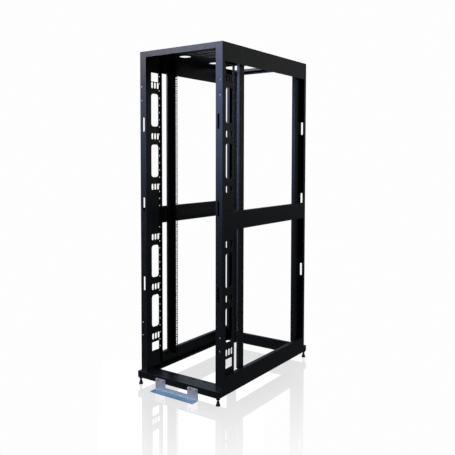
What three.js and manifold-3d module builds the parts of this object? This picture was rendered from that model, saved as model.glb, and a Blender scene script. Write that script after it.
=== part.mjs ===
// A 42U open-frame network server rack cabinet, 600 mm wide, 1070 mm deep and 2018 mm tall.
//
// Millimetres, +Z up. The front faces -Y and +X is on the right of someone who stands in front of it.
// The origin is on the floor under the middle of the whole outline, floor bracket included.
// Inside this file a depth is measured from the front faces of the posts, positive towards the rear,
// and every piece is drawn for the front right corner: mirrored copies make the other corners.

import * as THREE from "three";
import { mergeVertices } from "three/addons/utils/BufferGeometryUtils.js";
import Module from "manifold-3d";

const wasm = await Module();
wasm.setup();

// Driving dimensions of the cabinet.
const WIDTH = 600;
const POST_DEPTH = 1004; // from the front faces of the front posts to the rear faces of the rear ones
const HEIGHT = 2018;
const BASE = 44; // clear height under the base frame, which the levelling feet bridge
const PLINTH_HEIGHT = 38;
const PLINTH_REACH = 33; // how far the plinths stand out in front of the posts and behind them
const PLINTH_FLANGE = 28; // depth of a plinth's bottom flange
const BRACKET_REACH = 55; // how far the floor bracket stands out in front of the plinth

const SHEET = 2; // sheet steel of the frame
const GAP = 0.3; // between two pieces that touch
const PAST = 1; // how far a cutting tool reaches past a face
const HALF = WIDTH / 2;
const DECK = BASE + PLINTH_HEIGHT; // top of the plinths and of the sills
const MIDDLE_DEPTH = (POST_DEPTH - BRACKET_REACH) / 2; // depth of the middle of the whole outline

// Side beams, with a web flush with the posts. The base and mid beams are C-channels whose lips face into the
// cabinet. The top beams are angles, with a roof flange at their upper edge.
const CHANNEL_DEPTH = 23.7;
const LIP = 14;
const BASE_BEAM_TOP = 148;
const MID_BEAM = { low: 975, high: 1079 };
const TOP_BEAM_LOW = 1912;
const ROOF_FLANGE = 45; // width of the flanges that frame the roof
const FASCIA = { height: 34, foot: 20 }; // front and rear top beams: height, and depth of the bottom flange
const SILL = { near: 17, far: 72 };
const SILL_SLOT = { places: [-220, -140, -60, 60, 140, 220], length: 26, width: 8, setBack: 6 };

// Corner posts: U-sections, open towards the rear, with a face, an outer return and an inner return.
const POST_FACE = 45;
const POST_OUTER_RETURN = 24;
const POST_INNER_RETURN = 45;
const POST_SLOT = { width: 14, height: 86, inset: 27, pitch: 482, middle: 1101 };
const FITTING_HOLE = { radius: 4, inset: 14.5, heights: [299, 376, 1726, 1808], sides: 8 };

// The 19-inch mounting rails, punched with three square holes in every rack unit.
const UNIT = 44.45;
const UNITS = 42;
const UNIT_HOLES = [6.35, 22.225, 38.1];
const HOLE_SPACING = 465; // between the hole columns of the left and right rails
const SQUARE_HOLE = 9.5;
const RAIL = { inner: 224, outer: 273, depth: 51, bottom: 122, margin: 8 };
const RAIL_HEIGHT = UNITS * UNIT + 2 * RAIL.margin;
const FRONT_RAIL = { depth: 213, lip: 12 }; // place and width of the lip at a rail's front edge
const REAR_RAIL = { depth: 899, lip: 21 };
const FOOTING = { near: 12, far: 42, thickness: 3, margin: 2, height: 18 }; // where a rail meets the side beams
const WEB_HOLE = { radius: 4, depth: 12, heights: [380, 640, 860, 1124, 1247, 1381, 1610, 1785], sides: 8 };

// Cable-management panels, behind the front posts.
const PANEL = { outer: 276, near: 40, far: 159, bottom: 84, top: 2010, flange: 14 };
const WINDOW = { near: 71, far: 136, height: 199, radius: 18, raise: 4.5 };
const FINGER_SLOT = { width: 17, height: 38, pitch: 26, setBack: 3 };
const MODULE = 7 * UNIT; // from one row of finger slots to the next
const PATTERN_MIDDLE = 1049;
const SQUARE_WINDOW = { height: 53, middle: 1042, offset: 834 };
const TIE_HOLE = { size: 6.5, near: 58, far: 147 };

// Roof: cable openings in both sides, ventilation slots between them, and an open bay at the rear.
const ROOF_REAR = 745;
const ROOF_LIP = 7;
const CABLE_HOLE = { width: 68, length: 70, radius: 28, side: 172, depths: [278, 600] };
const VENT = { width: 9, length: 68, columns: 10, rows: 3, pitchX: 18.4, pitchY: 77, near: 190 };

// Rear cross member, between the base beams in front of the rear posts.
const CROSS_MEMBER = { near: 914, far: 931.7, top: 120 };
const CROSS_HOLE = { radius: 5, side: 143, height: 61, sides: 12 };

// Levelling feet.
const FOOT_SIDE = 13; // from the outer edges of the plinth to the middle of a foot
const STEM = { radius: 5, clearance: 0.5, top: 62, sides: 12 };
const SPANNER_FLATS = { radius: 7, low: 21, high: 26 }; // the hexagon on a stem, just above its pad
const PAD = { radius: 12.9, rim: 6, neck: 8.5, height: 20, sides: 16 };
const LOCK_NUT = { radius: 9.8, height: 10 };
const WELD_NUT_HEIGHT = 10;
const HEXAGON = 6;

// Floor bracket: an angle whose low upright side rises into a tab at each end, bolted to the front plinth.
const BRACKET = { half: 157, tab: 75, top: 70, upright: 24, thickness: 3 };
const FLOOR_HOLE = { radius: 4.5, side: 131, reach: 38 };
const BOLT = { radius: 4, clearance: 0.4, height: 62, inset: 16, length: 16, sides: 10 };
const BOLT_HEAD = { radius: 7, height: 5.3 };

const steel = (color, roughness) => new THREE.MeshStandardMaterial({ color, roughness, metalness: 0.3 });
const powderCoat = steel(0x17181b, 0.42);
const zinc = new THREE.MeshStandardMaterial({ color: 0x9fb0bd, roughness: 0.35, metalness: 0.9 });
const darkSteel = steel(0x1d1e20, 0.5);

// ---- Solids -------------------------------------------------------------------------------------

function solid(geometry) {
  const bare = geometry.clone();
  bare.deleteAttribute("normal");
  bare.deleteAttribute("uv");
  const merged = mergeVertices(bare, 1e-3);
  const mesh = new wasm.Mesh({
    numProp: 3,
    vertProperties: merged.attributes.position.array,
    triVerts: new Uint32Array(merged.index.array),
  });
  return new wasm.Manifold(mesh);
}

const join = (...parts) => parts.reduce((whole, part) => whole.add(part));
const cut = (body, ...tools) => tools.reduce((left, tool) => left.subtract(tool), body);

function geometryOf(body) {
  const mesh = body.getMesh();
  const geometry = new THREE.BufferGeometry();
  geometry.setAttribute("position", new THREE.BufferAttribute(mesh.vertProperties, 3));
  geometry.setIndex(new THREE.BufferAttribute(mesh.triVerts, 1));
  const faceted = geometry.toNonIndexed();
  faceted.computeVertexNormals();
  return faceted;
}

// An outline extruded along an axis from a low to a high coordinate. For the Z axis it is drawn in X and Y,
// for the Y axis in X and Z, and for the X axis in Y and Z. A quarter turn of an arc gets 2 * fineness sides.
function extrude(outline, axis, low, high, fineness = 1) {
  const options = { depth: high - low, bevelEnabled: false, curveSegments: fineness };
  const geometry = new THREE.ExtrudeGeometry(outline, options);
  if (axis === "z") geometry.translate(0, 0, low);
  if (axis === "y") geometry.rotateX(Math.PI / 2).translate(0, high, 0);
  if (axis === "x") {
    const [x, y, z] = [new THREE.Vector3(1, 0, 0), new THREE.Vector3(0, 1, 0), new THREE.Vector3(0, 0, 1)];
    geometry.applyMatrix4(new THREE.Matrix4().makeBasis(y, z, x)).translate(low, 0, 0);
  }
  return solid(geometry);
}

// A box given by its low and high coordinates along X, Y and Z.
function block([x0, x1], [y0, y1], [z0, z1]) {
  const geometry = new THREE.BoxGeometry(x1 - x0, y1 - y0, z1 - z0);
  return solid(geometry.translate((x0 + x1) / 2, (y0 + y1) / 2, (z0 + z1) / 2));
}

function roundedRectangle(centre, width, height, radius) {
  const [w, h] = [width / 2 - radius, height / 2 - radius];
  const [u, v] = centre;
  const outline = new THREE.Shape();
  outline.absarc(u + w, v + h, radius, 0, Math.PI / 2);
  outline.absarc(u - w, v + h, radius, Math.PI / 2, Math.PI);
  outline.absarc(u - w, v - h, radius, Math.PI, 1.5 * Math.PI);
  outline.absarc(u + w, v - h, radius, 1.5 * Math.PI, 2 * Math.PI);
  outline.closePath();
  return outline;
}

// An outline with two round ends. They stay just short of a full half circle, so that a short flat is left.
function slotOutline(centre, width, height) {
  const endFlat = 0.1;
  return roundedRectangle(centre, width, height, width / 2 - endFlat);
}

// An upright prism or cylinder whose flats are at least the given radius from its axis.
function rod(x, y, low, high, radius, sides) {
  const corner = radius / Math.cos(Math.PI / sides);
  const geometry = new THREE.CylinderGeometry(corner, corner, high - low, sides);
  return solid(geometry.rotateX(Math.PI / 2).translate(x, y, (low + high) / 2));
}

// A cylinder along Y, from a near to a far depth.
function crossRod(x, z, near, far, radius, sides) {
  const geometry = new THREE.CylinderGeometry(radius, radius, far - near, sides);
  return solid(geometry.translate(x, (near + far) / 2, z));
}

// ---- Base frame ---------------------------------------------------------------------------------

const foot = { x: HALF - FOOT_SIDE, y: FOOT_SIDE - PLINTH_REACH };
const stemHole = (x, y, low, high) => rod(x, y, low, high, STEM.radius + STEM.clearance, STEM.sides);

function plinth() {
  const across = [-HALF, HALF];
  const near = -PLINTH_REACH;
  const far = SILL.near - GAP;
  const shell = join(
    block(across, [near, near + SHEET], [BASE, DECK]),
    block(across, [near, far], [DECK - SHEET, DECK]),
    block(across, [near, near + PLINTH_FLANGE], [BASE, BASE + SHEET]),
    block([HALF - SHEET, HALF], [near, far], [BASE, DECK]),
    block([-HALF, SHEET - HALF], [near, far], [BASE, DECK]),
  );
  const boltHoles = boltPlaces().map((x) => boltHole(x, near - PAST, near + SHEET + PAST));
  const nutTop = BASE + SHEET + WELD_NUT_HEIGHT;
  return [foot.x, -foot.x].reduce((body, x) => {
    const nut = rod(x, foot.y, BASE, nutTop, LOCK_NUT.radius, HEXAGON);
    return cut(join(body, nut), stemHole(x, foot.y, BASE - PAST, nutTop + PAST));
  }, cut(shell, ...boltHoles));
}

function sill() {
  const across = [GAP + CHANNEL_DEPTH - HALF, HALF - CHANNEL_DEPTH - GAP];
  const walls = [BASE + SHEET + GAP, DECK];
  const channel = join(
    block(across, [SILL.near, SILL.far], [DECK - SHEET, DECK]),
    block(across, [SILL.near, SILL.near + SHEET], walls),
    block(across, [SILL.far - SHEET, SILL.far], walls),
  );
  const middle = (SILL.near + SILL.far) / 2 + SILL_SLOT.setBack;
  const [l, w] = [SILL_SLOT.length / 2, SILL_SLOT.width / 2];
  const slots = SILL_SLOT.places.map((x) =>
    block([x - l, x + l], [middle - w, middle + w], [DECK - SHEET - PAST, DECK + PAST]),
  );
  return cut(channel, ...slots);
}

function rearCrossMember() {
  const across = [GAP + CHANNEL_DEPTH - HALF, HALF - CHANNEL_DEPTH - GAP];
  const { near, far, top } = CROSS_MEMBER;
  const bottom = BASE + SHEET + GAP;
  const channel = join(
    block(across, [near, near + SHEET], [bottom, top]),
    block(across, [near, far], [bottom, bottom + SHEET]),
    block(across, [near, far], [top - SHEET, top]),
  );
  const { radius, side, height, sides } = CROSS_HOLE;
  return cut(
    channel,
    ...[-side, side].map((x) => crossRod(x, height, near - PAST, near + SHEET + PAST, radius, sides)),
  );
}

// ---- Side beams ---------------------------------------------------------------------------------

// The outline of a C-channel between two heights.
function channel(low, high) {
  const inner = HALF - CHANNEL_DEPTH;
  const outline = new THREE.Shape();
  outline.moveTo(HALF, low);
  outline.lineTo(HALF, high);
  outline.lineTo(inner, high);
  outline.lineTo(inner, high - LIP);
  outline.lineTo(inner + SHEET, high - LIP);
  outline.lineTo(inner + SHEET, high - SHEET);
  outline.lineTo(HALF - SHEET, high - SHEET);
  outline.lineTo(HALF - SHEET, low + SHEET);
  outline.lineTo(inner + SHEET, low + SHEET);
  outline.lineTo(inner + SHEET, low + LIP);
  outline.lineTo(inner, low + LIP);
  outline.lineTo(inner, low);
  outline.closePath();
  return outline;
}

const BEAM_NEAR = POST_OUTER_RETURN + 0.5;
const BEAM_FAR = POST_DEPTH - BEAM_NEAR;

function baseBeam() {
  const beam = extrude(channel(BASE, BASE_BEAM_TOP), "y", SILL.near, POST_DEPTH - SILL.near);
  const aboveDeck = [DECK, BASE_BEAM_TOP + PAST];
  const across = [HALF - CHANNEL_DEPTH - PAST, HALF + PAST];
  return cut(
    beam,
    block(across, [0, BEAM_NEAR], aboveDeck),
    block(across, [BEAM_FAR, POST_DEPTH], aboveDeck),
  );
}

function midBeam() {
  return extrude(channel(MID_BEAM.low, MID_BEAM.high), "y", BEAM_NEAR, BEAM_FAR);
}

function topBeam() {
  const web = block([HALF - SHEET, HALF], [BEAM_NEAR, BEAM_FAR], [TOP_BEAM_LOW, HEIGHT]);
  const across = [HALF - ROOF_FLANGE, HALF];
  const flange = block(across, [BEAM_NEAR, BEAM_FAR], [HEIGHT - SHEET, HEIGHT]);
  const corner = [HEIGHT - SHEET - GAP, HEIGHT + PAST];
  const wider = [HALF - ROOF_FLANGE - PAST, HALF + PAST];
  return cut(
    join(web, flange),
    block(wider, [0, ROOF_FLANGE + GAP], corner),
    block(wider, [POST_DEPTH - ROOF_FLANGE - GAP, POST_DEPTH], corner),
  );
}

// ---- Posts and the beams between them -----------------------------------------------------------

function post() {
  const top = HEIGHT - SHEET - GAP;
  const inner = HALF - POST_FACE;
  const outline = new THREE.Shape();
  outline.moveTo(HALF, 0);
  outline.lineTo(HALF, POST_OUTER_RETURN);
  outline.lineTo(HALF - SHEET, POST_OUTER_RETURN);
  outline.lineTo(HALF - SHEET, SHEET);
  outline.lineTo(inner + SHEET, SHEET);
  outline.lineTo(inner + SHEET, POST_INNER_RETURN);
  outline.lineTo(inner, POST_INNER_RETURN);
  outline.lineTo(inner, 0);
  outline.closePath();
  const slots = [-1, 0, 1].map((step) => {
    const centre = [HALF - POST_SLOT.inset, POST_SLOT.middle + step * POST_SLOT.pitch];
    return extrude(slotOutline(centre, POST_SLOT.width, POST_SLOT.height), "y", -PAST, SHEET + PAST);
  });
  const holes = FITTING_HOLE.heights.map((z) =>
    crossRod(HALF - FITTING_HOLE.inset, z, -PAST, SHEET + PAST, FITTING_HOLE.radius, FITTING_HOLE.sides),
  );
  return cut(extrude(outline, "z", DECK + GAP, top), ...slots, ...holes);
}

// The beam between two posts at the top: a fascia, a roof flange over the posts and stiffening returns.
function fasciaBeam() {
  const between = [GAP + POST_FACE - HALF, HALF - POST_FACE - GAP];
  const bottom = HEIGHT - FASCIA.height;
  return join(
    block(between, [0, SHEET], [bottom, HEIGHT]),
    block(between, [0, FASCIA.foot], [bottom, bottom + SHEET]),
    block([-HALF, HALF], [0, ROOF_FLANGE], [HEIGHT - SHEET, HEIGHT]),
    block(between, [ROOF_FLANGE - SHEET, ROOF_FLANGE], [HEIGHT - FASCIA.height / 2, HEIGHT]),
  );
}

// ---- Roof ---------------------------------------------------------------------------------------

function roofPanel() {
  const top = HEIGHT - SHEET - GAP;
  const side = HALF - SHEET - 2 * GAP;
  const sheet = join(
    block([-side, side], [ROOF_FLANGE + 2 * GAP, ROOF_REAR], [top - SHEET, top]),
    block([-side, side], [ROOF_REAR - SHEET, ROOF_REAR], [top - ROOF_LIP, top]),
  );
  const through = [top - ROOF_LIP, top + PAST];
  const { width, length, radius } = CABLE_HOLE;
  const cableHoles = [-1, 1].flatMap((s) =>
    CABLE_HOLE.depths.map((depth) =>
      extrude(roundedRectangle([s * CABLE_HOLE.side, depth], width, length, radius), "z", ...through, 2),
    ),
  );
  const vents = [];
  for (let column = 0; column < VENT.columns; column++)
    for (let row = 0; row < VENT.rows; row++) {
      const x = (column - (VENT.columns - 1) / 2) * VENT.pitchX;
      const near = VENT.near + row * VENT.pitchY;
      vents.push(block([x - VENT.width / 2, x + VENT.width / 2], [near, near + VENT.length], through));
    }
  return cut(sheet, ...cableHoles, ...vents);
}

// ---- Cable-management panel ---------------------------------------------------------------------

function cablePanel() {
  const across = [PANEL.outer - SHEET, PANEL.outer];
  const through = [PANEL.outer - 2 * SHEET, PANEL.outer + SHEET];
  const heights = [PANEL.bottom, PANEL.top];
  const sheet = block(across, [PANEL.near, PANEL.far], heights);
  const flange = block([PANEL.outer - PANEL.flange, PANEL.outer], [PANEL.far - SHEET, PANEL.far], heights);
  const middle = (WINDOW.near + WINDOW.far) / 2;
  const width = WINDOW.far - WINDOW.near;
  const tools = [];
  const punch = (outline, fineness) => tools.push(extrude(outline, "x", ...through, fineness));
  const fingerRows = [-2.5, -1.5, -0.5, 0.5, 1.5, 2.5].map((step) => PATTERN_MIDDLE + step * MODULE);
  for (const z of fingerRows)
    for (const step of [-1, 0, 1]) {
      const centre = [middle + FINGER_SLOT.setBack + step * FINGER_SLOT.pitch, z];
      punch(slotOutline(centre, FINGER_SLOT.width, FINGER_SLOT.height));
    }
  for (const step of [-2, -1, 1, 2]) {
    const z = PATTERN_MIDDLE + WINDOW.raise + step * MODULE;
    punch(roundedRectangle([middle, z], width, WINDOW.height, WINDOW.radius), 2);
  }
  for (const sign of [-1, 1]) {
    const z = SQUARE_WINDOW.middle + sign * SQUARE_WINDOW.offset;
    const half = SQUARE_WINDOW.height / 2;
    tools.push(block(through, [WINDOW.near, WINDOW.far], [z - half, z + half]));
  }
  const h = TIE_HOLE.size / 2;
  for (const [depth, z] of tieHoles(fingerRows))
    tools.push(block(through, [depth - h, depth + h], [z - h, z + h]));
  return join(cut(sheet, ...tools), flange);
}

// Small square holes for cable ties: the rear column has one in nearly every rack unit, and the front column
// only beside finger slots and in the plain sheet at mid height.
function tieHoles(fingerRows) {
  const holes = [];
  for (let unit = 1; unit < UNITS - 1; unit++) {
    const z = RAIL.bottom + RAIL.margin + (unit + 0.5) * UNIT;
    holes.push([TIE_HOLE.far, z]);
    const besideFingers = fingerRows.some((row) => Math.abs(row - z) < 0.6 * UNIT);
    if (besideFingers || Math.abs(z - PATTERN_MIDDLE) < MODULE / 2) holes.push([TIE_HOLE.near, z]);
  }
  return holes;
}

// ---- Mounting rail ------------------------------------------------------------------------------

// Drawn with its front edge at depth 0: a web along the side, a narrow lip at its front edge and a punched
// flange at its rear edge.
function rail(lip) {
  const { inner, outer, depth, bottom, margin } = RAIL;
  const heights = [bottom, bottom + RAIL_HEIGHT];
  const flange = new THREE.Shape();
  flange.moveTo(inner, heights[0]);
  flange.lineTo(outer, heights[0]);
  flange.lineTo(outer, heights[1]);
  flange.lineTo(inner, heights[1]);
  flange.closePath();
  for (let unit = 0; unit < UNITS; unit++)
    for (const offset of UNIT_HOLES) flange.holes.push(squareHole(bottom + margin + unit * UNIT + offset));
  const web = block([outer - SHEET, outer], [0, depth], heights);
  const holes = WEB_HOLE.heights.map((z) => {
    const hole = new THREE.Shape();
    hole.absarc(WEB_HOLE.depth, z, WEB_HOLE.radius, 0, 2 * Math.PI);
    return extrude(hole, "x", outer - SHEET - PAST, outer + PAST, WEB_HOLE.sides / 2);
  });
  const edge = block([outer - lip, outer], [0, SHEET], heights);
  return join(cut(web, ...holes), edge, extrude(flange, "y", depth - SHEET, depth), ...footings());
}

// The blocks that hold a rail to the lips of the base and mid beams, and the angle that holds it to the top
// beam's web.
function footings() {
  const { near, far, thickness, margin, height } = FOOTING;
  const face = RAIL.outer;
  const web = HALF - SHEET - GAP;
  const low = TOP_BEAM_LOW + margin;
  return [
    block([face, face + thickness], [near, far], [RAIL.bottom + margin, BASE_BEAM_TOP - margin]),
    block([face, face + thickness], [near, far], [MID_BEAM.low + margin, MID_BEAM.high - margin]),
    block([face, web], [near, far], [low, low + thickness]),
    block([web - thickness, web], [near, far], [low, low + height]),
  ];
}

function squareHole(z) {
  const x = HOLE_SPACING / 2;
  const h = SQUARE_HOLE / 2;
  const hole = new THREE.Path();
  hole.moveTo(x - h, z - h);
  hole.lineTo(x - h, z + h);
  hole.lineTo(x + h, z + h);
  hole.lineTo(x + h, z - h);
  hole.closePath();
  return hole;
}

// ---- Levelling foot -----------------------------------------------------------------------------

// Drawn on its own axis: the stem ends in the pad's socket and carries a hexagon for a spanner.
function footStem() {
  const bottom = PAD.rim + GAP;
  const shank = new THREE.CylinderGeometry(STEM.radius, STEM.radius, STEM.top - bottom, STEM.sides);
  return join(
    solid(shank.rotateX(Math.PI / 2).translate(0, 0, (STEM.top + bottom) / 2)),
    rod(0, 0, SPANNER_FLATS.low, SPANNER_FLATS.high, SPANNER_FLATS.radius, HEXAGON),
  );
}

function footPad() {
  const bore = STEM.radius + STEM.clearance;
  const profile = [
    [0, 0],
    [PAD.radius, 0],
    [PAD.radius, PAD.rim],
    [PAD.neck, PAD.height],
    [bore, PAD.height],
    [bore, PAD.rim],
    [0, PAD.rim],
  ].map(([r, z]) => new THREE.Vector2(r, z));
  return solid(new THREE.LatheGeometry(profile, PAD.sides).rotateX(Math.PI / 2));
}

function lockNut() {
  const low = BASE - GAP - LOCK_NUT.height;
  const nut = rod(0, 0, low, BASE - GAP, LOCK_NUT.radius, HEXAGON);
  return cut(nut, stemHole(0, 0, low - PAST, BASE));
}

// ---- Floor bracket ------------------------------------------------------------------------------

function floorBracket() {
  const { half, tab, top, upright, thickness } = BRACKET;
  const back = -PLINTH_REACH - GAP;
  const tabs = [-1, 1].map((s) => {
    const across = [s * half, s * (half - tab)].sort((a, b) => a - b);
    return block(across, [back - thickness, back], [0, top]);
  });
  const floorHoleDepth = -PLINTH_REACH - FLOOR_HOLE.reach;
  const floorHoles = [-1, 1].map((s) =>
    rod(s * FLOOR_HOLE.side, floorHoleDepth, -PAST, thickness + PAST, FLOOR_HOLE.radius, BOLT.sides),
  );
  const plate = block([-half, half], [-PLINTH_REACH - BRACKET_REACH, back], [0, thickness]);
  const low = block([-half, half], [back - thickness, back], [0, upright]);
  const boltHoles = boltPlaces().map((x) => boltHole(x, back - thickness - PAST, back + PAST));
  return cut(join(plate, low, ...tabs), ...floorHoles, ...boltHoles);
}

// Each tab has two bolts, near its edges.
function boltPlaces() {
  const near = BRACKET.half - BRACKET.tab + BOLT.inset;
  const far = BRACKET.half - BOLT.inset;
  return [-far, -near, near, far];
}

function boltHole(x, near, far) {
  return crossRod(x, BOLT.height, near, far, BOLT.radius + BOLT.clearance, BOLT.sides);
}

// A hexagon-headed bolt on its own axis, with its head in front of the bracket's tab.
function bolt() {
  const face = -PLINTH_REACH - BRACKET.thickness - 2 * GAP;
  return join(
    crossRod(0, BOLT.height, face - BOLT_HEAD.height, face, BOLT_HEAD.radius, HEXAGON),
    crossRod(0, BOLT.height, face, face + BOLT.length, BOLT.radius, BOLT.sides),
  );
}

// ---- Assembly -----------------------------------------------------------------------------------

const rack = new THREE.Group();
rack.position.y = -MIDDLE_DEPTH;

// Adds one mesh. mirrorX and mirrorY make it the copy for the left side or for the rear.
function add(name, geometry, material, { x = 0, y = 0, mirrorX = false, mirrorY = false } = {}) {
  const mesh = new THREE.Mesh(geometry, material);
  mesh.name = name;
  mesh.position.set(x, mirrorY ? POST_DEPTH - y : y, 0);
  mesh.scale.set(mirrorX ? -1 : 1, mirrorY ? -1 : 1, 1);
  rack.add(mesh);
}

function addSides(name, geometry, material, options = {}) {
  add(name + "_right", geometry, material, options);
  add(name + "_left", geometry, material, { ...options, mirrorX: true });
}

function addEnds(name, geometry, material) {
  add("front_" + name, geometry, material);
  add("rear_" + name, geometry, material, { mirrorY: true });
}

addEnds("plinth", geometryOf(plinth()), powderCoat);
addEnds("sill", geometryOf(sill()), powderCoat);
add("rear_cross_member", geometryOf(rearCrossMember()), powderCoat);
addSides("base_beam", geometryOf(baseBeam()), powderCoat);
addSides("mid_beam", geometryOf(midBeam()), powderCoat);
addSides("top_beam", geometryOf(topBeam()), powderCoat);
addEnds("top_beam", geometryOf(fasciaBeam()), powderCoat);
add("roof_panel", geometryOf(roofPanel()), powderCoat);

const postGeometry = geometryOf(post());
addSides("front_post", postGeometry, powderCoat);
addSides("rear_post", postGeometry, powderCoat, { mirrorY: true });
addSides("cable_panel", geometryOf(cablePanel()), powderCoat);

addSides("front_rail", geometryOf(rail(FRONT_RAIL.lip)), powderCoat, { y: FRONT_RAIL.depth });
addSides("rear_rail", geometryOf(rail(REAR_RAIL.lip)), powderCoat, { y: REAR_RAIL.depth });

const stemGeometry = geometryOf(footStem());
const padGeometry = geometryOf(footPad());
const nutGeometry = geometryOf(lockNut());
for (const end of ["front", "rear"])
  for (const side of ["right", "left"]) {
    const place = { x: side === "right" ? foot.x : -foot.x, y: foot.y, mirrorY: end === "rear" };
    add(`${end}_foot_stem_${side}`, stemGeometry, darkSteel, place);
    add(`${end}_foot_pad_${side}`, padGeometry, darkSteel, place);
    add(`${end}_foot_nut_${side}`, nutGeometry, darkSteel, place);
  }

add("floor_bracket", geometryOf(floorBracket()), zinc);
const boltGeometry = geometryOf(bolt());
boltPlaces().forEach((x, i) => add(`bracket_bolt_${i + 1}`, boltGeometry, zinc, { x }));

export default rack;
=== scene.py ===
"""Looks for a 42U open-frame network server rack cabinet: satin black powder coat, zinc-plated floor bracket.

Metres, +Z up, the front faces -Y, +X on the right. Pieces are drawn in millimetres and placed by the boxes of
the CAD nodes they stand for.
"""

import math

import bmesh
import bpy
from mathutils import Matrix, Vector


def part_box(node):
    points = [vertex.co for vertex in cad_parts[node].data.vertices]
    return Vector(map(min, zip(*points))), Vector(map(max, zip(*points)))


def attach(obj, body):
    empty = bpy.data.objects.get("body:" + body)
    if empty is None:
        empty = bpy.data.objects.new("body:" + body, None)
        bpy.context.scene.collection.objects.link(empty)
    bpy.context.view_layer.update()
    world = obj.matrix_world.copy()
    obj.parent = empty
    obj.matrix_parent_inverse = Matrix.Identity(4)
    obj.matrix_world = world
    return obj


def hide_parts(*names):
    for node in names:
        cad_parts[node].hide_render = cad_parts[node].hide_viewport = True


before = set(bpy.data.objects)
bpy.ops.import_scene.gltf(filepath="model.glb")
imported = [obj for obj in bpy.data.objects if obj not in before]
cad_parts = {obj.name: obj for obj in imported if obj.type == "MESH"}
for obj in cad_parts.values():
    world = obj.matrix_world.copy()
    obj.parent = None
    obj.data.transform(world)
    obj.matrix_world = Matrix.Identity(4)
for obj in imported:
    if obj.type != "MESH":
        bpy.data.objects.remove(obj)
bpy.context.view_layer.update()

MM = 0.001
SIDES = ("right", "left")
ENDS = ("front", "rear")
BOLTS = (1, 2, 3, 4)

# The mounting rails have a finish of their own.
RAILS = [f"{end}_rail_{side}" for end in ENDS for side in SIDES]


# ---- Node materials ---------------------------------------------------------------------------------


class Nodes:
    """A short way to write a material's node tree."""

    def __init__(self, name):
        self.material = bpy.data.materials.new(name)
        self.material.use_nodes = True
        self.tree = self.material.node_tree
        self.tree.nodes.clear()
        self.output = self.add("ShaderNodeOutputMaterial")

    def add(self, kind, inputs=None, **settings):
        node = self.tree.nodes.new(kind)
        for name, value in settings.items():
            setattr(node, name, value)
        for name, value in (inputs or {}).items():
            self.set(node.inputs[name], value)
        return node

    def set(self, socket, value):
        if isinstance(value, bpy.types.NodeSocket):
            self.tree.links.new(value, socket)
        else:
            socket.default_value = value

    def place(self):
        """Coordinates in metres, fixed to the object."""
        return self.add("ShaderNodeTexCoord").outputs["Object"]

    def stretched(self, scale):
        return self.add("ShaderNodeMapping", {"Vector": self.place(), "Scale": scale}).outputs["Vector"]

    def noise(self, scale, detail=2.0, vector=None):
        inputs = {"Scale": scale, "Detail": detail, "Vector": vector or self.place()}
        return self.add("ShaderNodeTexNoise", inputs).outputs["Fac"]

    def remap(self, value, low, high, from_low=0.3, from_high=0.7):
        inputs = {"Value": value, "From Min": from_low, "From Max": from_high, "To Min": low, "To Max": high}
        return self.add("ShaderNodeMapRange", inputs).outputs["Result"]

    def mix(self, factor, first, second):
        node = self.add("ShaderNodeMix", data_type="RGBA")
        self.set(node.inputs[0], factor)
        self.set(node.inputs[6], first)
        self.set(node.inputs[7], second)
        return node.outputs[2]

    def edges(self, radius):
        """The normal rounded over an edge, and 0 on a flat to 1 on an edge."""
        bevel = self.add("ShaderNodeBevel", {"Radius": radius}, samples=4)
        flat = self.add("ShaderNodeNewGeometry").outputs["Normal"]
        turn = self.add("ShaderNodeVectorMath", operation="DOT_PRODUCT")
        self.set(turn.inputs[0], bevel.outputs["Normal"])
        self.set(turn.inputs[1], flat)
        return bevel.outputs["Normal"], self.remap(turn.outputs["Value"], 1.0, 0.0, 0.8, 0.99)

    def bump(self, height, strength, distance, normal=None):
        inputs = {"Height": height, "Strength": strength, "Distance": distance}
        if normal is not None:
            inputs["Normal"] = normal
        return self.add("ShaderNodeBump", inputs).outputs["Normal"]

    def finish(self, shader_inputs):
        shader = self.add("ShaderNodeBsdfPrincipled", shader_inputs)
        self.set(self.output.inputs["Surface"], shader.outputs["BSDF"])
        return self.material


def powder_coat(name, colour, wear_and_highlight_colour, roughness, specular):
    """Satin powder coat: orange peel a millimetre across, faint clouding, and edges painted lighter, partly
    as worn coat and partly as a painted highlight.
    """
    n = Nodes(name)
    rounded, edge = n.edges(0.8 * MM)
    peel = n.noise(1100.0, 2.0)
    cloud = n.noise(9.0, 4.0)
    dust = n.noise(420.0, 1.0)
    darker = tuple(0.82 * c for c in colour[:3]) + (1.0,)
    base = n.mix(n.remap(cloud, 0.0, 1.0), darker, colour)
    speck = tuple(min(1.0, 2.2 * c) for c in colour[:3]) + (1.0,)
    base = n.mix(n.remap(dust, 0.0, 0.5, 0.66, 0.74), base, speck)
    # Edges painted lighter: partly worn coat, partly a painted highlight where a rounded satin edge catches
    # the light.
    wear_and_highlight_mask = n.add("ShaderNodeMath", operation="MULTIPLY")
    n.set(wear_and_highlight_mask.inputs[0], edge)
    n.set(wear_and_highlight_mask.inputs[1], n.remap(n.noise(60.0, 3.0), 0.15, 0.9))
    return n.finish(
        {
            "Base Color": n.mix(wear_and_highlight_mask.outputs["Value"], base, wear_and_highlight_colour),
            "Roughness": n.remap(n.noise(35.0, 3.0), roughness - 0.03, roughness + 0.05),
            "Specular IOR Level": specular,
            "Normal": n.bump(peel, 0.22, 0.1 * MM, rounded),
        }
    )


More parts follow.
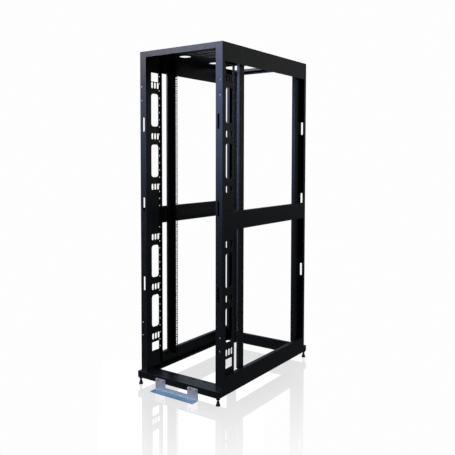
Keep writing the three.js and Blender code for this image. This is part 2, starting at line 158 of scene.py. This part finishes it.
def zinc_plate(name, polish):
    """Bright zinc with fine rolling streaks and small spangle, and a painted pale blue reflection on the flat
    plate near the floor.

    polish is how metallic it looks, away from the painted reflection.
    """
    n = Nodes(name)
    rounded, edge = n.edges(0.6 * MM)
    streaks = n.noise(40.0, 3.0, n.stretched((1.0, 12.0, 12.0)))
    spangle = n.add("ShaderNodeTexVoronoi", {"Vector": n.place(), "Scale": 260.0}).outputs["Distance"]
    tint = n.mix(n.remap(n.noise(14.0, 2.0), 0.0, 1.0), (0.56, 0.54, 0.50, 1.0), (0.64, 0.62, 0.58, 1.0))
    base = n.mix(n.remap(streaks, 0.0, 0.35), tint, (0.48, 0.47, 0.44, 1.0))
    base = n.mix(n.remap(spangle, 0.25, 0.0, 0.0, 0.6), base, (0.70, 0.69, 0.66, 1.0))
    base = n.mix(edge, base, (0.78, 0.77, 0.75, 1.0))
    # Painted reflection: the flat plate, up to 5 mm above the floor, is painted pale blue and made less
    # metallic, standing in for the blue light its upward face reflects.
    height = n.add("ShaderNodeSeparateXYZ", {"Vector": n.place()}).outputs["Z"]
    painted_blue_reflection = n.remap(height, 1.0, 0.0, 3.6 * MM, 5.0 * MM)
    blue = n.mix(n.remap(n.noise(9.0, 2.0), 0.0, 1.0), (0.24, 0.475, 0.665, 1.0), (0.275, 0.51, 0.70, 1.0))
    return n.finish(
        {
            "Base Color": n.mix(painted_blue_reflection, base, blue),
            "Metallic": n.remap(painted_blue_reflection, polish, 0.0, 0.0, 1.0),
            "Roughness": n.remap(streaks, 0.26, 0.38),
            "Normal": n.bump(streaks, 0.2, 0.05 * MM, rounded),
        }
    )


def black_steel():
    """Black-plated steel of the levelling feet, oiled, with its plating worn lighter on its edges."""
    n = Nodes("black_steel")
    rounded, edge = n.edges(0.4 * MM)
    patches = n.remap(n.noise(70.0, 3.0), 0.0, 1.0)
    base = n.mix(patches, (0.010, 0.010, 0.011, 1.0), (0.022, 0.022, 0.024, 1.0))
    return n.finish(
        {
            "Base Color": n.mix(edge, base, (0.10, 0.10, 0.11, 1.0)),
            "Metallic": 0.35,
            "Roughness": n.remap(n.noise(200.0, 3.0), 0.36, 0.52),
            "Normal": n.bump(n.noise(900.0), 0.15, 0.05 * MM, rounded),
        }
    )


def plated_screw():
    """Black zinc of the rails' fixing screws, a little lighter than the coat round them."""
    n = Nodes("screw_black")
    rounded, edge = n.edges(0.3 * MM)
    patches = n.remap(n.noise(300.0, 2.0), 0.0, 1.0)
    base = n.mix(patches, (0.018, 0.018, 0.02, 1.0), (0.035, 0.035, 0.038, 1.0))
    return n.finish(
        {
            "Base Color": n.mix(edge, base, (0.16, 0.16, 0.17, 1.0)),
            "Metallic": 0.6,
            "Roughness": 0.38,
            "Normal": n.bump(n.noise(800.0), 0.1, 0.05 * MM, rounded),
        }
    )


# ---- Meshes -----------------------------------------------------------------------------------------


def piece(name, bm, material, body, replaces=(), matrix=None, smooth=False):
    """Turns a bmesh drawn in millimetres into a piece that rides on a body."""
    bmesh.ops.recalc_face_normals(bm, faces=bm.faces)
    mesh = bpy.data.meshes.new(name)
    bm.to_mesh(mesh)
    bm.free()
    mesh.transform(Matrix.Scale(MM, 4))
    if matrix is not None:
        mesh.transform(matrix)
        if matrix.determinant() < 0:
            mesh.flip_normals()
    mesh.materials.append(material)
    if smooth:
        mesh.shade_smooth()
        mesh.set_sharp_from_angle(angle=math.radians(35))
    made = bpy.data.objects.new(name, mesh)
    bpy.context.scene.collection.objects.link(made)
    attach(made, body)
    if replaces:
        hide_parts(*replaces)
    return made


def turned(bm, rings, sides, closed=False, at=Matrix.Identity(4)):
    """Adds a shape turned about Z. A ring is (radius, height), or a function of the angle that gives them.

    A closed shape joins its last ring to its first, as a nut does; otherwise both ends get a cap.
    """
    loops = []
    for ring in rings:
        loop = []
        for step in range(sides):
            angle = math.tau * step / sides
            radius, height = ring(angle) if callable(ring) else ring
            point = Vector((radius * math.cos(angle), radius * math.sin(angle), height))
            loop.append(bm.verts.new(at @ point))
        loops.append(loop)
    following = loops[1:] + loops[:1] if closed else loops[1:]
    for low, high in zip(loops, following):
        for a in range(sides):
            b = (a + 1) % sides
            bm.faces.new((low[a], low[b], high[b], high[a]))
    if not closed:
        bm.faces.new(loops[0][::-1])
        bm.faces.new(loops[-1])


def hexagon(flat, angle):
    """How far a hexagon's outline is from its axis, where flat is half its width across the flats."""
    turn = (angle + math.pi / 6) % (math.pi / 3) - math.pi / 6
    return flat / math.cos(turn)


def hexagon_rings(flat, low, high):
    """A hexagon between two heights, with its corners chamfered at 30 degrees as a spanner nut has them."""

    def drop(angle):
        return (hexagon(flat, angle) - flat) * math.tan(math.radians(30)) + 0.2

    end = 0.96 * flat
    return [
        (end, low),
        lambda a: (hexagon(flat, a), low + drop(a)),
        lambda a: (hexagon(flat, a), high - drop(a)),
        (end, high),
    ]


def thread_rings(radius, pitch, low, high, sides_per_pitch=6):
    """Rings of a screw thread that fades out towards both ends."""
    depth = 0.55 * pitch
    count = round((high - low) / pitch * sides_per_pitch)

    def ring(step):
        height = low + (high - low) * step / count
        end = min(1.0, (high - height) / pitch, (height - low) / pitch)

        def profile(angle):
            phase = (height / pitch - angle / math.tau) % 1.0
            crest = min(1.0, 1.6 * abs(2 * phase - 1))
            return radius - depth * (1 - crest * end), height

        return profile

    return [ring(step) for step in range(count + 1)]


def box(name):
    """The lowest and highest corners of a CAD node, in millimetres."""
    return [[1000 * v for v in corner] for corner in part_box(name)]


def floor_place(name):
    """The middle of a CAD node's box, on the floor, in millimetres."""
    low, high = box(name)
    return Vector(((low[0] + high[0]) / 2, (low[1] + high[1]) / 2, 0))


# ---- Levelling feet ---------------------------------------------------------------------------------

FOOT_SCREW = 5.0  # radius
FOOT_PITCH = 1.5
SPANNER_FLAT = 7.0  # half the width across the flats
SPANNER_HEIGHTS = (21.0, 26.0)
NUT_FLAT = 9.8

# A pad's outline as radius and height: its sole, its rim, its cone, its neck and its socket.
PAD_RINGS = [(11.4, 0.0), (12.5, 0.3), (12.9, 1.2), (12.9, 4.8), (12.6, 6.2), (11.8, 8.2), (10.9, 10.4)]
PAD_RINGS += [(10.1, 13.0), (9.3, 16.0), (8.7, 18.4), (8.3, 19.6), (7.8, 20.0), (6.0, 20.0)]
PAD_RINGS += [(5.6, 19.5), (5.6, 6.2)]


def levelling_foot(end, side):
    """A screw with a thread, its spanner hexagon, a lock nut and a turned pad."""
    stem, pad, nut = (f"{end}_foot_{part}_{side}" for part in ("stem", "pad", "nut"))
    at = Matrix.Translation(MM * floor_place(stem))

    low, high = (corner[2] for corner in box(stem))
    bm = bmesh.new()
    turned(bm, thread_rings(FOOT_SCREW, FOOT_PITCH, low, high), 16)
    piece(f"{end}_{side}_foot_screw", bm, STEEL, "frame", [stem], at, smooth=True)

    low, high = SPANNER_HEIGHTS
    bore = FOOT_SCREW - 0.9
    bm = bmesh.new()
    turned(bm, [(bore, low), *hexagon_rings(SPANNER_FLAT, low, high), (bore, high)], 36, closed=True)
    piece(f"{end}_{side}_foot_spanner_hexagon", bm, STEEL, "frame", matrix=at)

    low, high = (corner[2] for corner in box(nut))
    bore, chamfer = FOOT_SCREW - 0.4, 0.7
    rings = [(bore, low + chamfer), (bore + chamfer, low), *hexagon_rings(NUT_FLAT, low, high)]
    rings += [(bore + chamfer, high), (bore, high - chamfer)]
    bm = bmesh.new()
    turned(bm, rings, 36, closed=True)
    piece(f"{end}_{side}_foot_lock_nut", bm, STEEL, "frame", [nut], at)

    bm = bmesh.new()
    turned(bm, PAD_RINGS, 48)
    piece(f"{end}_{side}_foot_disc", bm, STEEL, pad, [pad], at, smooth=True)


# ---- Floor bracket ----------------------------------------------------------------------------------

TAB = 75.0  # width of a tab
PLATE = 3.0  # thickness of the bracket
UPRIGHT = 24.0  # height of the upright side between the tabs
BEND = 4.0  # radius of the bend, at the middle of the sheet
BEND_STEPS = 4
FLAT_ROW = 24.0  # from the bend to a row of points in the flat plate
TAB_CORNER = 6.0
FLOOR_HOLE = {"radius": 4.5, "side": 131.0, "from_edge": 17.0}
BOLT_HOLE = 4.4  # radius


def bracket_sheet():
    """The middle surface of the bracket: a plate whose rear edge turns up, with a tab at each end."""
    low, high = box("floor_bracket")
    back = high[1] - PLATE / 2
    path = [(low[1], PLATE / 2), (back - BEND - FLAT_ROW, PLATE / 2), (back - BEND, PLATE / 2)]
    for step in range(1, BEND_STEPS + 1):
        angle = math.radians(90) * step / BEND_STEPS
        path.append((back - BEND + BEND * math.sin(angle), PLATE / 2 + BEND * (1 - math.cos(angle))))
    path += [(back, UPRIGHT), (back, high[2])]
    columns = [low[0], low[0] + TAB, high[0] - TAB, high[0]]
    bm = bmesh.new()
    grid = [[bm.verts.new((x, y, z)) for y, z in path] for x in columns]
    for column in range(3):
        rows = len(path) - 2 if column == 1 else len(path) - 1
        for row in range(rows):
            a, b = grid[column], grid[column + 1]
            bm.faces.new((a[row], b[row], b[row + 1], a[row + 1]))
    corners = [v for v in bm.verts if len(v.link_faces) == 1]
    corners = [v for v in corners if v.co.z > high[2] - 1 or v.co.y < low[1] + 1]
    bmesh.ops.bevel(bm, geom=corners, affect="VERTICES", offset=TAB_CORNER, segments=4, profile=0.5)
    return bm


def applied(made):
    """The object with its modifiers made part of its mesh."""
    graph = bpy.context.evaluated_depsgraph_get()
    made.data = bpy.data.meshes.new_from_object(made.evaluated_get(graph))
    made.modifiers.clear()
    return made


def cutter(places, radius, along_y):
    """One object of cylinders, to cut holes with."""
    bm = bmesh.new()
    for x, y, z in places:
        at = Matrix.Translation((x, y, z))
        if along_y:
            at = at @ Matrix.Rotation(math.radians(90), 4, "X")
        turned(bm, [(radius, -8.0), (radius, 8.0)], 32, at=at)
    bmesh.ops.recalc_face_normals(bm, faces=bm.faces)
    mesh = bpy.data.meshes.new("cutter")
    bm.to_mesh(mesh)
    bm.free()
    mesh.transform(Matrix.Scale(MM, 4))
    made = bpy.data.objects.new("cutter", mesh)
    bpy.context.scene.collection.objects.link(made)
    return made


def floor_bracket():
    """The bracket's sheet with its thickness, its holes and softened edges."""
    low, high = box("floor_bracket")
    bracket = piece("bent_floor_bracket", bracket_sheet(), ZINC, "frame", ["floor_bracket"])
    thicken = bracket.modifiers.new("sheet", "SOLIDIFY")
    thicken.thickness = PLATE * MM
    thicken.offset = 0
    bolts = [floor_place(f"bracket_bolt_{number}").x for number in BOLTS]
    bolt_height = sum(corner[2] for corner in box("bracket_bolt_1")) / 2
    sides = (-FLOOR_HOLE["side"], FLOOR_HOLE["side"])
    floor_holes = [(x, low[1] + FLOOR_HOLE["from_edge"], PLATE / 2) for x in sides]
    tools = [
        cutter(floor_holes, FLOOR_HOLE["radius"], along_y=False),
        cutter([(x, high[1], bolt_height) for x in bolts], BOLT_HOLE, along_y=True),
    ]
    for tool in tools:
        cut = bracket.modifiers.new("hole", "BOOLEAN")
        cut.operation = "DIFFERENCE"
        cut.solver = "EXACT"
        cut.object = tool
    soften = bracket.modifiers.new("edges", "BEVEL")
    soften.width = 0.35 * MM
    soften.segments = 2
    soften.limit_method = "ANGLE"
    applied(bracket)
    for tool in tools:
        bpy.data.objects.remove(tool)


def bracket_bolt(number):
    """A flanged hexagon bolt with a groove under its head, along Y."""
    node = f"bracket_bolt_{number}"
    low, high = box(node)
    centre = ((low[0] + high[0]) / 2, low[1], (low[2] + high[2]) / 2)
    at = Matrix.Translation(MM * Vector(centre)) @ Matrix.Rotation(math.radians(90), 4, "X")
    length = high[1] - low[1]
    bm = bmesh.new()
    head = [(5.6, 0.0), lambda a: (hexagon(6.4, a), -0.8), lambda a: (hexagon(6.5, a), -3.6), (7.6, -4.2)]
    head += [(8.2, -4.7), (8.2, -5.3), (4.0, -5.3)]
    turned(bm, [*head, (4.0, -6.5), (3.6, -6.9), (4.0, -7.3), (4.0, 1.0 - length), (3.2, -length)], 36)
    piece(f"bracket_flange_bolt_{number}", bm, ZINC, "frame", [node], at, smooth=True)


# ---- Cable panels and roof: the CAD sheets again, with round openings and softened edges ----------------

SHEET = 2.0  # thickness
EDGE = 0.3  # how far a sheet's edge stays inside the flange that meets it
RACK_UNIT = 44.45
RACK_UNITS = 42
FIRST_UNIT = 130.0  # height of the lowest rack unit's lower edge

# A panel's openings. Depths are from its front edge.
MODULE = 7 * RACK_UNIT  # from one row of finger slots to the next
PATTERN_MIDDLE = 1049.0
WINDOW = {"depth": 63.5, "width": 65.0, "height": 199.0, "corner": 18.0, "raise": 4.5}
SQUARE_WINDOW = {"height": 53.0, "corner": 1.5, "places": (208.0, 1876.0)}
FINGER_SLOT = {"width": 17.0, "height": 38.0, "corner": 8.4, "pitch": 26.0, "set_back": 3.0}
TIE_HOLE = {"size": 6.5, "corner": 0.6, "near": 18.0, "far": 107.0}

# The roof's openings. Depths are from its front edge.
CABLE_OPENING = {"width": 68.0, "length": 70.0, "corner": 28.0, "side": 172.0, "depths": (232.4, 554.4)}
VENT = {"width": 6.9, "length": 68.0, "corner": 3.4, "columns": 10, "rows": 3, "depth": 178.4}
VENT_PITCH = (18.4, 77.0)


def rounded_outline(centre, width, height, radius, steps=10):
    """The outline of a rectangle with round corners, with a given number of steps in each corner."""
    w, h = width / 2 - radius, height / 2 - radius
    points = []
    for quarter, (u, v) in enumerate([(w, h), (-w, h), (-w, -h), (w, -h)]):
        for step in range(steps + 1):
            angle = math.pi / 2 * (quarter + step / steps)
            x = centre[0] + u + radius * math.cos(angle)
            points.append((x, centre[1] + v + radius * math.sin(angle)))
    return points


def punched_sheet(outlines, thickness, softness=0.25):
    """A flat sheet in the XY plane from its outline and the outlines of its holes, in millimetres."""
    curve = bpy.data.curves.new("sheet", "CURVE")
    curve.dimensions = "2D"
    curve.fill_mode = "BOTH"
    curve.extrude = (thickness / 2 - softness) * MM
    curve.bevel_depth = softness * MM
    curve.bevel_resolution = 1
    curve.offset = -softness * MM
    for outline in outlines:
        spline = curve.splines.new("POLY")
        spline.points.add(len(outline) - 1)
        spline.use_cyclic_u = True
        for point, (u, v) in zip(spline.points, outline):
            point.co = (u * MM, v * MM, 0, 1)
    holder = bpy.data.objects.new("sheet", curve)
    bpy.context.scene.collection.objects.link(holder)
    graph = bpy.context.evaluated_depsgraph_get()
    mesh = bpy.data.meshes.new_from_object(holder.evaluated_get(graph))
    bpy.data.objects.remove(holder)
    bm = bmesh.new()
    bm.from_mesh(mesh)
    bpy.data.meshes.remove(mesh)
    bmesh.ops.remove_doubles(bm, verts=bm.verts, dist=0.01 * MM)
    bmesh.ops.scale(bm, vec=(1 / MM, 1 / MM, 1 / MM), verts=bm.verts)
    return bm


def add_sheet(bm, outlines, thickness, matrix):
    """Adds a punched sheet to a bmesh, where a matrix puts it."""
    sheet = punched_sheet(outlines, thickness)
    bmesh.ops.transform(sheet, matrix=matrix, verts=sheet.verts)
    mesh = bpy.data.meshes.new("sheet")
    sheet.to_mesh(mesh)
    sheet.free()
    bm.from_mesh(mesh)
    bpy.data.meshes.remove(mesh)


def panel_holes(near):
    """Outlines of a cable panel's openings, from the depth of its front edge."""
    middle = near + WINDOW["depth"]
    rows = [PATTERN_MIDDLE + step * MODULE for step in (-2.5, -1.5, -0.5, 0.5, 1.5, 2.5)]
    slot = (FINGER_SLOT["width"], FINGER_SLOT["height"], FINGER_SLOT["corner"], 8)
    for z in rows:
        for step in (-1, 0, 1):
            yield rounded_outline((middle + FINGER_SLOT["set_back"] + FINGER_SLOT["pitch"] * step, z), *slot)
    for step in (-2, -1, 1, 2):
        centre = (middle, PATTERN_MIDDLE + WINDOW["raise"] + step * MODULE)
        yield rounded_outline(centre, WINDOW["width"], WINDOW["height"], WINDOW["corner"])
    square = (WINDOW["width"], SQUARE_WINDOW["height"], SQUARE_WINDOW["corner"], 3)
    for z in SQUARE_WINDOW["places"]:
        yield rounded_outline((middle, z), *square)
    tie_hole = (TIE_HOLE["size"], TIE_HOLE["size"], TIE_HOLE["corner"], 2)
    for unit in range(1, RACK_UNITS - 1):
        z = FIRST_UNIT + (unit + 0.5) * RACK_UNIT
        yield rounded_outline((near + TIE_HOLE["far"], z), *tie_hole)
        beside_slots = any(abs(row - z) < 0.6 * RACK_UNIT for row in rows)
        if beside_slots or abs(z - PATTERN_MIDDLE) < MODULE / 2:
            yield rounded_outline((near + TIE_HOLE["near"], z), *tie_hole)


def sheet_outline(centre, width, height):
    """The outline of a whole sheet, with its corners broken by 1 mm."""
    return rounded_outline(centre, width, height, 1.0, 2)


def facing_y(x, y):
    """Stands a sheet up across the rack, with its middle at a given X and Y."""
    return Matrix(((1, 0, 0, x), (0, 0, 1, y), (0, 1, 0, 0), (0, 0, 0, 1)))


def cable_panel(side):
    """A punched sheet along the side, with a flange across its rear edge."""
    node = f"cable_panel_{side}"
    low, high = box(node)
    width, depth, height = (b - a for a, b in zip(low, high))
    near, far = low[1], high[1]
    centre = ((near + far - EDGE) / 2, (low[2] + high[2]) / 2)
    outer = high[0] - SHEET / 2 if side == "right" else low[0] + SHEET / 2
    upright = Matrix(((0, 0, 1, outer), (1, 0, 0, 0), (0, 1, 0, 0), (0, 0, 0, 1)))
    bm = bmesh.new()
    add_sheet(bm, [sheet_outline(centre, depth - EDGE, height), *panel_holes(near)], SHEET, upright)
    flange = sheet_outline((0, centre[1]), width - SHEET / 2, height)
    end = SHEET / 2 if side == "right" else -SHEET / 2
    add_sheet(bm, [flange], SHEET, facing_y((low[0] + high[0] - end) / 2, far - SHEET / 2))
    piece(f"punched_cable_panel_{side}", bm, FRAME_COAT, "frame", [node])


def roof_holes(near):
    """Outlines of the roof's cable openings and ventilation slots, from the depth of its front edge."""
    opening = (CABLE_OPENING["width"], CABLE_OPENING["length"], CABLE_OPENING["corner"])
    for side in (-1, 1):
        for depth in CABLE_OPENING["depths"]:
            yield rounded_outline((CABLE_OPENING["side"] * side, near + depth), *opening)
    slot = (VENT["width"], VENT["length"], VENT["corner"], 6)
    for column in range(VENT["columns"]):
        for row in range(VENT["rows"]):
            x = VENT_PITCH[0] * (column - (VENT["columns"] - 1) / 2)
            yield rounded_outline((x, near + VENT["depth"] + VENT_PITCH[1] * row), *slot)


def vented_roof():
    """The roof sheet again, with smooth cable openings, round-ended slots and a lip at its rear edge."""
    low, high = box("roof_panel")
    width, length, height = (b - a for a, b in zip(low, high))
    outline = sheet_outline((0, (low[1] + high[1] - EDGE) / 2), width, length - EDGE)
    bm = bmesh.new()
    add_sheet(bm, [outline, *roof_holes(low[1])], SHEET, Matrix.Translation((0, 0, high[2] - SHEET / 2)))
    lip = sheet_outline((0, (low[2] + high[2] - SHEET / 2) / 2), width - EDGE, height - SHEET / 2)
    add_sheet(bm, [lip], SHEET, facing_y(0, high[1] - SHEET / 2))
    piece("vented_roof_sheet", bm, FRAME_COAT, "frame", ["roof_panel"])


# ---- Screws of the posts and rails ---------------------------------------------------------------------

POST_SCREW = {"inset": 14.5, "heights": (299.0, 376.0, 1726.0, 1808.0), "radius": 4.8, "height": 2.2}
RAIL_SCREW = {"depth": 27.0, "heights": (136.0, 1001.0, 1053.0, 1923.0), "radius": 5.8, "height": 2.8}
RAIL_FACE = 271.0  # from the middle of the rack to the inner face of a rail's web
WASHER = {"radius": 7.5, "height": 1.3}


def button_head(bm, at, radius, height, sides=24):
    """A button head with a hexagon socket, along +Z of its own frame."""
    r, h = radius, height
    rings = [(r, 0.0), (r, 0.25 * h), (0.95 * r, 0.45 * h), (0.8 * r, 0.75 * h)]
    rings += [(0.55 * r, 0.95 * h), (0.45 * r, h)]
    socket = [lambda a: (hexagon(0.3 * r, a), h), lambda a: (hexagon(0.3 * r, a), 0.45 * h)]
    turned(bm, rings + socket, sides, at=at)


def post_screws(end, side):
    """Zinc screws in the four small holes of a post's face."""
    low, high = box(f"{end}_post_{side}")
    x = high[0] - POST_SCREW["inset"] if side == "right" else low[0] + POST_SCREW["inset"]
    y = low[1] if end == "front" else high[1]
    turn = Matrix.Rotation(math.radians(90 if end == "front" else -90), 4, "X")
    bm = bmesh.new()
    for z in POST_SCREW["heights"]:
        button_head(bm, Matrix.Translation((x, y, z)) @ turn, POST_SCREW["radius"], POST_SCREW["height"])
    piece(f"{end}_post_screws_{side}", bm, SCREW_ZINC, "frame", smooth=True)


def rail_screws(end, side):
    """Button-head screws that hold a rail to the side beams, on the inner face of its web."""
    rail = f"{end}_rail_{side}"
    near = box(rail)[0][1]
    inwards = -1 if side == "right" else 1
    turn = Matrix.Rotation(inwards * math.pi / 2, 4, "Y")
    radius, top = WASHER["radius"], WASHER["height"]
    washer = [(radius, 0.0), (radius, top - 0.3), (radius - 0.3, top), (radius - 1.5, top)]
    bm = bmesh.new()
    for height in RAIL_SCREW["heights"]:
        at = Matrix.Translation((-inwards * RAIL_FACE, near + RAIL_SCREW["depth"], height)) @ turn
        turned(bm, washer, 24, at=at)
        button_head(bm, at @ Matrix.Translation((0, 0, top)), RAIL_SCREW["radius"], RAIL_SCREW["height"])
    piece(f"{end}_rail_screws_{side}", bm, SCREW, rail, smooth=True)


# ---- Stage ------------------------------------------------------------------------------------------

FLOOR_RADIUS = 30000.0
WHITE = 0.985  # how bright the floor and the background look
POLISH = 0.24  # share of a mirror image in the floor under the rack
POLISH_FADE = (0.35, 1.15)  # metres from the origin between which it fades out
UNSEEN_FLOOR = 0.085  # how bright the floor is in the rack's own reflections and shade
DOME = (0.07, 0.28)  # light from just below the horizon, and from overhead


def studio_floor():
    """A polished white floor, whose mirror image fades out in front of the rack."""
    bm = bmesh.new()
    turned(bm, [(FLOOR_RADIUS, -0.5), (FLOOR_RADIUS, 0.0)], 64)
    bmesh.ops.recalc_face_normals(bm, faces=bm.faces)
    mesh = bpy.data.meshes.new("studio_floor")
    bm.to_mesh(mesh)
    bm.free()
    mesh.transform(Matrix.Scale(MM, 4))
    floor = bpy.data.objects.new("studio_floor", mesh)
    bpy.context.scene.collection.objects.link(floor)

    n = Nodes("studio_floor")
    seen = n.add("ShaderNodeLightPath")
    distance = n.add("ShaderNodeVectorMath", operation="LENGTH")
    n.set(distance.inputs[0], n.stretched((1.0, 0.62, 1.0)))
    polish = n.remap(distance.outputs["Value"], POLISH, 0.0, *POLISH_FADE)
    white = n.add("ShaderNodeEmission", {"Color": (1.0, 1.0, 1.0, 1.0), "Strength": WHITE})
    mirror = n.add("ShaderNodeBsdfGlossy", {"Roughness": 0.0, "Color": (1.0, 1.0, 1.0, 1.0)})
    polished = n.add("ShaderNodeMixShader", {"Fac": polish})
    n.set(polished.inputs[1], white.outputs["Emission"])
    n.set(polished.inputs[2], mirror.outputs["BSDF"])
    unseen = n.add("ShaderNodeEmission", {"Color": (0.85, 0.92, 1.0, 1.0), "Strength": UNSEEN_FLOOR})
    both = n.add("ShaderNodeMixShader")
    n.set(both.inputs[0], seen.outputs["Is Camera Ray"])
    n.set(both.inputs[1], unseen.outputs["Emission"])
    n.set(both.inputs[2], polished.outputs["Shader"])
    n.set(n.output.inputs["Surface"], both.outputs["Shader"])
    mesh.materials.append(n.material)


def studio_world():
    """White where the camera or the polished floor sees it, and a soft grey dome for light."""
    world = bpy.data.worlds.new("studio")
    bpy.context.scene.world = world
    world.use_nodes = True
    tree = world.node_tree
    tree.nodes.clear()
    add, link = tree.nodes.new, tree.links.new
    path = add("ShaderNodeLightPath")
    seen = add("ShaderNodeMath")
    seen.operation = "MAXIMUM"
    link(path.outputs["Is Camera Ray"], seen.inputs[0])
    link(path.outputs["Is Singular Ray"], seen.inputs[1])
    direction = add("ShaderNodeTexCoord")
    height = add("ShaderNodeSeparateXYZ")
    link(direction.outputs["Generated"], height.inputs[0])
    ramp = add("ShaderNodeMapRange")
    ramp.inputs["From Min"].default_value = -0.33
    ramp.inputs["From Max"].default_value = 0.6
    ramp.inputs["To Min"].default_value, ramp.inputs["To Max"].default_value = DOME
    link(height.outputs["Z"], ramp.inputs["Value"])
    dome = add("ShaderNodeBackground")
    dome.inputs["Color"].default_value = (0.93, 0.96, 1.0, 1.0)
    link(ramp.outputs["Result"], dome.inputs["Strength"])
    white = add("ShaderNodeBackground")
    white.inputs["Color"].default_value = (1.0, 1.0, 1.0, 1.0)
    white.inputs["Strength"].default_value = WHITE
    mix = add("ShaderNodeMixShader")
    link(seen.outputs[0], mix.inputs[0])
    link(dome.outputs[0], mix.inputs[1])
    link(white.outputs[0], mix.inputs[2])
    out = add("ShaderNodeOutputWorld")
    link(mix.outputs[0], out.inputs["Surface"])


def softbox(name, place, target, size, power, colour):
    """A rectangular lamp, in metres and watts, that the camera doesn't see."""
    light = bpy.data.lights.new(name, "AREA")
    light.shape = "RECTANGLE"
    light.size, light.size_y = size
    light.energy = power
    light.color = colour
    made = bpy.data.objects.new(name, light)
    bpy.context.scene.collection.objects.link(made)
    made.location = place
    made.rotation_euler = (Vector(target) - Vector(place)).to_track_quat("-Z", "Y").to_euler()
    made.visible_camera = False


def camera():
    """The camera, pitched a little down and turned to show the front and the right side."""
    data = bpy.data.cameras.new("camera")
    data.sensor_width = 36.0
    data.lens = 48.098
    data.shift_x = 0.0548
    data.shift_y = -0.0842
    made = bpy.data.objects.new("camera", data)
    bpy.context.scene.collection.objects.link(made)
    made.location = (2.1803, -3.2325, 1.3732)
    made.rotation_euler = (math.radians(90 - 2.8), 0, math.radians(36.15))
    bpy.context.scene.camera = made


# ---- Assembly ---------------------------------------------------------------------------------------

camera()

# Base colours are linear. An edge is painted lighter than the coat: partly worn coat, partly a painted
# highlight where the rounded edge catches the light.
FRAME_COAT = powder_coat(
    "frame_powder_coat",
    colour=(0.005, 0.0053, 0.006, 1.0),
    wear_and_highlight_colour=(0.04, 0.042, 0.046, 1.0),
    roughness=0.32,
    specular=0.42,
)
RAIL_COAT = powder_coat(
    "rail_powder_coat",
    colour=(0.0045, 0.0048, 0.0055, 1.0),
    wear_and_highlight_colour=(0.045, 0.047, 0.05, 1.0),
    roughness=0.36,
    specular=0.38,
)
ZINC = zinc_plate("zinc_plate", polish=0.2)
SCREW_ZINC = zinc_plate("screw_zinc", polish=0.85)
STEEL = black_steel()
SCREW = plated_screw()

for name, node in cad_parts.items():
    material = RAIL_COAT if name in RAILS else FRAME_COAT
    if "bracket" in name:
        material = ZINC
    if "foot" in name:
        material = STEEL
    node.data.materials.clear()
    node.data.materials.append(material)

for end in ENDS:
    for side in SIDES:
        levelling_foot(end, side)
        rail_screws(end, side)
        post_screws(end, side)
for side in SIDES:
    cable_panel(side)
vented_roof()
floor_bracket()
for number in BOLTS:
    bracket_bolt(number)

studio_floor()
studio_world()
softbox("front_left", (-2.3, -5.2, 2.9), (0.2, -0.5, 1.7), (3.0, 3.2), 175.0, (0.30, 0.48, 1.0))
softbox("high_left", (-3.6, -4.1, 3.9), (-0.1, -0.4, 1.9), (2.0, 1.4), 120.0, (1.0, 0.80, 0.56))
softbox("rear_left", (-3.2, 3.6, 2.6), (0.0, -0.5, 0.1), (2.4, 2.0), 6.0, (0.55, 0.76, 1.0))
softbox("rear_right", (4.2, 5.0, 2.2), (0.3, 0.4, 1.4), (3.0, 2.6), 4.0, (1.0, 1.0, 1.0))

settings = bpy.context.scene.view_settings
settings.view_transform = "Standard"
settings.look = "None"
